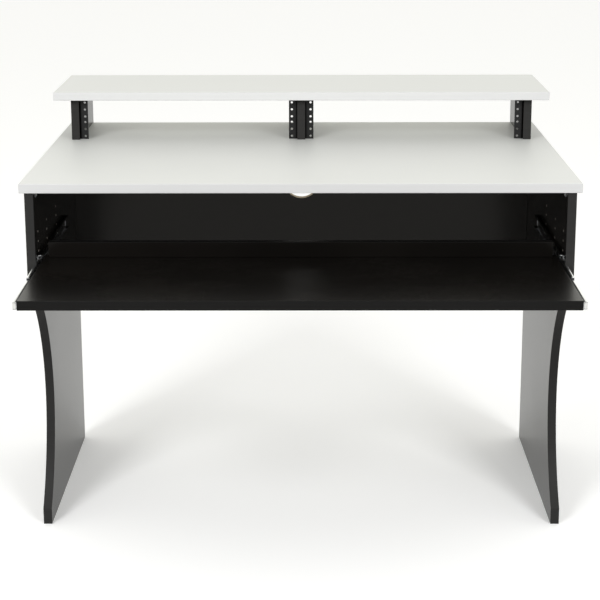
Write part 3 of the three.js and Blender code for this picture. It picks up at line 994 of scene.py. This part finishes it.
def front_of_panel(node):
    """The arc's centre and radius, and how far forward the foot reaches."""
    low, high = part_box(node)
    outline = [(vertex.co.y, vertex.co.z) for vertex in nodes[node].data.vertices]
    arc_top = min(z for y, z in outline if y < low.y + TOUCHING)
    foot_front = min(y for y, z in outline if z < low.z + TOUCHING)
    foot_top = max(z for y, z in outline if abs(y - foot_front) < TOUCHING and z < FOOT_BELOW)
    deepest = max((y, z) for y, z in outline if z < arc_top and y < high.y - BACK_STRIP)
    return circle_through((low.y, arc_top), deepest, (foot_front, foot_top)), foot_front


for side in INWARDS:
    print("arc radius", side, round(front_of_panel("side_panel_" + side)[0][2] / MM, 1), "mm")

# %% Side panels
PANEL_ROUNDING = 0.9 * MM
SET_HOLE_COLUMNS = (37, 140, 260)
SET_HOLE_ROWS = (0, 20, 40, 60)
SET_HOLE_RADIUS = 2.5 * MM
SET_HOLE_DEPTH = 13 * MM


def set_holes(side, face, front):
    """Drills for the rows of holes, counted from the panel's front and the slide's middle."""
    slide_low, slide_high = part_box("slide_outer_" + side)
    middle = (slide_low.z + slide_high.z) / 2
    drills = []
    for column in SET_HOLE_COLUMNS:
        for row in SET_HOLE_ROWS:
            place = (front + column * MM, middle + row * MM)
            mouth = (face + INWARDS[side] * DRILL_START, *place)
            bottom = (face - INWARDS[side] * SET_HOLE_DEPTH, *place)
            drills.append(add_rod("drill", mouth, bottom, SET_HOLE_RADIUS))
    return drills


def side_panel(side):
    node = "side_panel_" + side
    low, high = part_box(node)
    (y, z, radius), foot_front = front_of_panel(node)
    panel = add_block(node + "_board", low, high)
    left, right = low.x - CUT_PAST, high.x + CUT_PAST
    cut_away(panel, [add_rod("arc", (left, y, z), (right, y, z), radius, sides=256)], BLACK_BAND)
    toe_low = (left, low.y - CUT_PAST, low.z - CUT_PAST)
    cut_away(panel, [add_block("toe", toe_low, (right, foot_front, z))], BLACK_BAND)
    panel.data.materials.clear()
    laminated(panel, BLACK_LAMINATE, BLACK_BAND, X, PANEL_ROUNDING)

    face = high.x if INWARDS[side] > 0 else low.x
    drills = screw_holes(["bracket_panel_screw_" + side]) + set_holes(side, face, low.y)
    # The small holes' walls get painted shade.
    cut_away(panel, drills, PAINTED_SHADE_HOLE_WALL)
    hand_over(panel, node)


for side in INWARDS:
    side_panel(side)
print("side panels:", len(INWARDS))

# %% [markdown]
# Rails, brackets and slide members are all folded or rolled from flat strip. A plane is the first
# piece of the strip, its free edge is extruded from point to point along the profile, and Solidify
# gives it the sheet's thickness to both sides of that mid-line. `rounded` turns each fold into an arc.

# %% Folded sheet metal
def rounded(points, radius, segments=4):
    """The same path with an arc at each inner corner."""
    points = [Vector(point) for point in points]
    path = [points[0]]
    for before, corner, after in zip(points, points[1:], points[2:]):
        back = (before - corner).normalized()
        onwards = (after - corner).normalized()
        half = back.angle(onwards) / 2
        reach = radius / math.tan(half)
        centre = corner + (back + onwards).normalized() * radius / math.sin(half)
        start = (corner + back * reach - centre).normalized()
        end = (corner + onwards * reach - centre).normalized()
        for step in range(segments + 1):
            path.append(centre + start.slerp(end, step / segments).normalized() * radius)
    return path + [points[-1]]


def in_metres(points):
    return [(a * MM, b * MM) for a, b in points]


def fold_sheet(name, profile, origin, across, rise, run, thickness):
    """Sheet bent along a profile, whose two numbers count along across and rise."""
    across, rise, run = Vector(across), Vector(rise), Vector(run)
    points = [Vector(origin) + across * point[0] + rise * point[1] for point in profile]
    bpy.ops.mesh.primitive_plane_add(size=1)
    sheet = bpy.context.object
    sheet.name = name
    corners = (points[0], points[0] + run, points[1], points[1] + run)
    for vertex, corner in zip(sheet.data.vertices, corners):
        vertex.co = corner
    pick(sheet, edges=lambda edge: min(edge.vertices) > 1)
    for here, there in zip(points[1:], points[2:]):
        bpy.ops.mesh.extrude_region_move(TRANSFORM_OT_translate={"value": there - here})
    bpy.ops.object.mode_set(mode="OBJECT")
    modify(sheet, "SOLIDIFY", thickness=thickness, offset=0, use_even_offset=True)
    face_outwards(sheet)
    return sheet


print("folding ready")

# %% Rack rails
RAIL_STEEL = 2 * MM
RAIL_BEND = 2 * MM
RAIL_ROUNDING = 0.25 * MM
RACK_HOLE_INSET = 12 * MM
RACK_HOLE_RADIUS = 2.5 * MM
RACK_HOLE_HEIGHTS = (6.35, 22.225, 38.1, 50.8, 66.675, 82.55)


def rack_rail(node):
    low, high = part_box(node)
    into_bay = INWARDS[node.rsplit("_", 1)[1]]
    face = low.x if into_bay > 0 else high.x
    width, depth, half = high.x - low.x, high.y - low.y, RAIL_STEEL / 2
    rail = fold_sheet(
        node + "_folded",
        rounded([(width, half), (half, half), (half, depth)], RAIL_BEND),
        origin=(face, low.y, low.z),
        across=(into_bay, 0, 0),
        rise=(0, 1, 0),
        run=(0, 0, high.z - low.z),
        thickness=RAIL_STEEL,
    )
    rail.data.materials.append(POWDER_PAINT)
    soften(rail, RAIL_ROUNDING)
    drills = screw_holes(named("rail_screw", node[len("rack_rail_"):]))
    x = face + into_bay * RACK_HOLE_INSET
    for height in RACK_HOLE_HEIGHTS:
        z = low.z + height * MM
        start, end = (x, low.y - DRILL_START, z), (x, low.y + CUT_PAST, z)
        drills.append(add_rod("drill", start, end, RACK_HOLE_RADIUS, sides=32))
    cut_away(rail, drills, POWDER_PAINT)
    hand_over(rail, node)


for node in named("rack_rail"):
    rack_rail(node)
print("rack rails:", len(named("rack_rail")))

# %% Corner brackets
BRACKET_STEEL = 1.6 * MM
BRACKET_BEND = 1.5 * MM
BRACKET_ROUNDING = 0.3 * MM


def corner_bracket(side):
    node = "corner_bracket_" + side
    low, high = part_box(node)
    leg, half = high.x - low.x, BRACKET_STEEL / 2
    bracket = fold_sheet(
        node + "_bent",
        rounded([(half, leg), (half, half), (leg, half)], BRACKET_BEND),
        origin=(low.x if INWARDS[side] > 0 else high.x, low.y, high.z),
        across=(INWARDS[side], 0, 0),
        rise=(0, 0, -1),
        run=(0, high.y - low.y, 0),
        thickness=BRACKET_STEEL,
    )
    bracket.data.materials.append(BRACKET_ZINC)
    soften(bracket, BRACKET_ROUNDING)
    cut_away(bracket, screw_holes(named("bracket", "screw", side)), BRACKET_ZINC)
    hand_over(bracket, node)


for side in INWARDS:
    corner_bracket(side)
print("corner brackets:", len(INWARDS))

# %% [markdown]
# A drawer slide is three rolled channels inside each other, with balls between them in thin cages.
# Each channel's flanges are rolled to a shallow crown, so the balls can't leave, and the crown is what
# draws the bright lines along a slide. The profiles below are the upper half of the left slide's,
# counted from the side panel's face inwards and up from the slide's middle; the lower half mirrors
# it, and the right slide uses the same numbers with the first one mirrored.

# %% The slide's own frame
def slide_frame(side):
    """A slide's origin on the side panel, its direction inwards, and its middle height."""
    low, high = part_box("slide_outer_" + side)
    inwards = INWARDS[side]
    return (low.x if inwards > 0 else high.x), inwards, (low.z + high.z) / 2


def rolled_strip(name, node, side, path, thickness):
    """Strip folded along a path in millimetres across the slide, as long as its CAD node."""
    low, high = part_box(node)
    face, inwards, middle = slide_frame(side)
    return fold_sheet(
        name,
        in_metres(path),
        origin=(face, low.y, middle),
        across=(inwards, 0, 0),
        rise=(0, 0, 1),
        run=(0, high.y - low.y, 0),
        thickness=thickness,
    )


def block_in_slide(name, side, across, along, half_height):
    """A block between two distances from the side panel and two places along the slide."""
    face, inwards, middle = slide_frame(side)
    near, far = sorted(face + inwards * distance for distance in across)
    return add_block(name, (near, along[0], middle - half_height), (far, along[1], middle + half_height))


print("slide frames:", [round(value, 4) for side in INWARDS for value in slide_frame(side)])

# %% Slide members
MEMBER_STEEL = 1 * MM
MEMBER_BEND = 0.8
MEMBER_PROFILES = {
    "outer": [(8.9, 12.2), (7.3, 12.8), (5.5, 13.0), (3.7, 12.85), (1.6, 12.4), (0.5, 11.3)],
    "middle": [(10.7, 9.1), (9.4, 9.6), (7.7, 9.8), (5.9, 9.7), (4.4, 9.4), (3.8, 8.8)],
    "inner": [(6.1, 6.0), (7.4, 6.5), (8.8, 6.6), (10.2, 6.4), (11.2, 6.0), (12.2, 5.0)],
}
MEMBER_SLOTS = {"outer": (88, 200, 300), "middle": (60, 150, 290), "inner": (95, 170, 225)}
MEMBER_SCREWS = {"outer": "slide_screw", "inner": "runner_screw"}
SLOT_RADIUS = 2.3 * MM
SLOT_LENGTH = 5 * MM


def slide_member(kind, side):
    node = "slide_" + kind + "_" + side
    upper = MEMBER_PROFILES[kind]
    path = rounded(upper + [(a, -b) for a, b in reversed(upper)], MEMBER_BEND, segments=2)
    member = rolled_strip(node + "_rolled", node, side, path, MEMBER_STEEL)
    member.data.materials.append(SLIDE_STEEL)

    face, inwards, middle = slide_frame(side)
    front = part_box(node)[0].y
    web = upper[-1][0] * MM
    near, far = face + inwards * (web - DRILL_START), face + inwards * (web + DRILL_START)
    for place in MEMBER_SLOTS[kind]:
        for shift in (0, SLOT_LENGTH):
            y = front + place * MM + shift
            drill = add_rod("drill", (near, y, middle), (far, y, middle), SLOT_RADIUS, sides=20)
            cut_away(member, [drill], SLIDE_STEEL)
    if kind in MEMBER_SCREWS:
        cut_away(member, screw_holes(named(MEMBER_SCREWS[kind], side)), SLIDE_STEEL)
    hand_over(member, node)


for side in INWARDS:
    for kind in MEMBER_PROFILES:
        slide_member(kind, side)
print("slide members:", len(INWARDS) * len(MEMBER_PROFILES))

# %% [markdown]
# Between two members runs a ball cage: a thin channel with a row of balls along each flange, each in
# a small pressed collar. One ball with its collar is modelled and copied along both rows.

# %% Ball cages
# The web's distance from the side panel, and the ball rows' distance from the slide's middle, in mm.
CAGES = {"outer": (2.5, 11.4), "inner": (4.7, 8.2)}
CAGE_STEEL = 0.4
CAGE_BEND = 0.5
CAGE_FLANGE = 6.0
WINDOWS_AT = (0.2, 0.5, 0.8)
WINDOW_REACH = 9 * MM
WINDOW_MARGIN = 3
WINDOW_CUT = 1
BALL_RADIUS = 1.05 * MM
BALLS_PER_ROW = 10
COLLAR_RINGS = [(1.0, -0.34), (1.45, -0.30), (1.32, 0), (1.45, 0.30), (1.0, 0.34)]


def ball_in_collar():
    bpy.ops.mesh.primitive_uv_sphere_add(segments=14, ring_count=10, radius=BALL_RADIUS)
    ball = bpy.context.object
    collar = lathe("collar", in_metres(COLLAR_RINGS), sides=14)
    return join([ball, collar], "ball_model")


def ball_rows(kind, side, low, length):
    """Balls in collars, evenly along both flanges of a cage."""
    face, inwards, middle = slide_frame(side)
    offset, race = CAGES[kind]
    x = face + inwards * (offset + CAGE_FLANGE / 2) * MM
    balls = []
    for row in (-1, 1):
        for count in range(BALLS_PER_ROW):
            ball = copy_of(ball_model, "ball")
            y = low.y + length * (count + 0.5) / BALLS_PER_ROW
            ball.location = (x, y, middle + row * race * MM)
            settle(ball)
            balls.append(ball)
    return balls


def ball_cage(kind, side):
    node = "ball_cage_" + kind + "_" + side
    low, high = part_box(node)
    length = high.y - low.y
    offset, race = CAGES[kind]
    web, mouth = offset + CAGE_STEEL / 2, offset + CAGE_FLANGE
    path = rounded([(mouth, race), (web, race), (web, -race), (mouth, -race)], CAGE_BEND, segments=3)
    cage = rolled_strip(node + "_strip", node, side, path, CAGE_STEEL * MM)
    across = ((web - WINDOW_CUT) * MM, (web + WINDOW_CUT) * MM)
    windows = []
    for share in WINDOWS_AT:
        y = low.y + length * share
        along = (y - WINDOW_REACH, y + WINDOW_REACH)
        windows.append(block_in_slide("window", side, across, along, (race - WINDOW_MARGIN) * MM))
    cut_away(cage, windows, BEARING_STEEL)
    cage = join([cage] + ball_rows(kind, side, low, length), node + "_with_balls")
    cage.data.materials.clear()
    cage.data.materials.append(BEARING_STEEL)
    hand_over(cage, node)


ball_model = ball_in_collar()
for side in INWARDS:
    for kind in CAGES:
        ball_cage(kind, side)
bpy.data.objects.remove(ball_model)
print("ball cages:", len(INWARDS) * len(CAGES), "with", BALLS_PER_ROW * 2, "balls each")

# %% [markdown]
# Three small things finish a slide. A black plastic bumper sits in the front end of the middle member,
# between its flanges and the inner member. The inner member's front end is closed by a folded tab,
# which is the pale block at each front corner of the tray. A curved stop is pressed out of the outer
# member's web at its rear end.

# %% Bumpers, end tabs and stops
BUMPER = {"across": (4.4 * MM, 10.3 * MM), "along": (-0.4 * MM, 8 * MM), "half_height": 9.1 * MM}
BUMPER_OPENING = {"across": (4.8 * MM, 12 * MM), "along": (-3 * MM, 12 * MM), "half_height": 7.3 * MM}
END_TAB = {"across": (5.6 * MM, 12.6 * MM), "along": (0, 1.4 * MM), "half_height": 7 * MM}
FINE_ROUNDING = 0.15 * MM
TAB_ROUNDING = 0.4 * MM
STOP_CURVE = [(-3.2, 11.2), (-1.6, 7.0), (-1.0, 0.0), (-1.6, -7.0), (-3.2, -11.2)]
STOP_BEND = 8.0
STOP_OFFSET = 0.9 * MM
STOP_HEIGHT = 1 * MM
STOP_STEEL = 0.7 * MM


def block_at_front(name, side, member, across, along, half_height):
    """A block in the slide whose places are counted from the front end of one member."""
    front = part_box(member)[0].y
    return block_in_slide(name, side, across, [front + place for place in along], half_height)


def bumper(side):
    member = "slide_middle_" + side
    piece = block_at_front("slide_bumper_" + side, side, member, **BUMPER)
    piece.data.materials.append(BLACK_PLASTIC)
    cut_away(piece, [block_at_front("opening", side, member, **BUMPER_OPENING)], BLACK_PLASTIC)
    soften(piece, FINE_ROUNDING)
    hand_over(piece, member, replaces=False)


def end_tab(side):
    member = "slide_inner_" + side
    piece = block_at_front("slide_end_tab_" + side, side, member, **END_TAB)
    piece.data.materials.append(SCREW_ZINC)
    soften(piece, TAB_ROUNDING, segments=3)
    hand_over(piece, member, replaces=False)


def pressed_stop(side):
    member = "slide_outer_" + side
    face, inwards, middle = slide_frame(side)
    piece = fold_sheet(
        "slide_stop_" + side,
        in_metres(rounded(STOP_CURVE, STOP_BEND)),
        origin=(face + inwards * STOP_OFFSET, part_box(member)[1].y, middle),
        across=(0, 1, 0),
        rise=(0, 0, 1),
        run=(inwards * STOP_HEIGHT, 0, 0),
        thickness=STOP_STEEL,
    )
    piece.data.materials.append(BRACKET_ZINC)
    soften(piece, FINE_ROUNDING)
    hand_over(piece, member, replaces=False)


for side in INWARDS:
    bumper(side)
    end_tab(side)
    pressed_stop(side)
print("bumpers, end tabs and stops:", 3 * len(INWARDS))

# %% [markdown]
# Last, every CAD node must be covered by a finished piece, and the drawn model must fill the same box
# as the CAD model. Only the first is checked here: the nodes without a piece are printed.

# %% Check and finish
left_over = [node for node in nodes if not any(name.startswith(node) for name in made)]
print("pieces:", len(made), "nodes without one:", left_over)
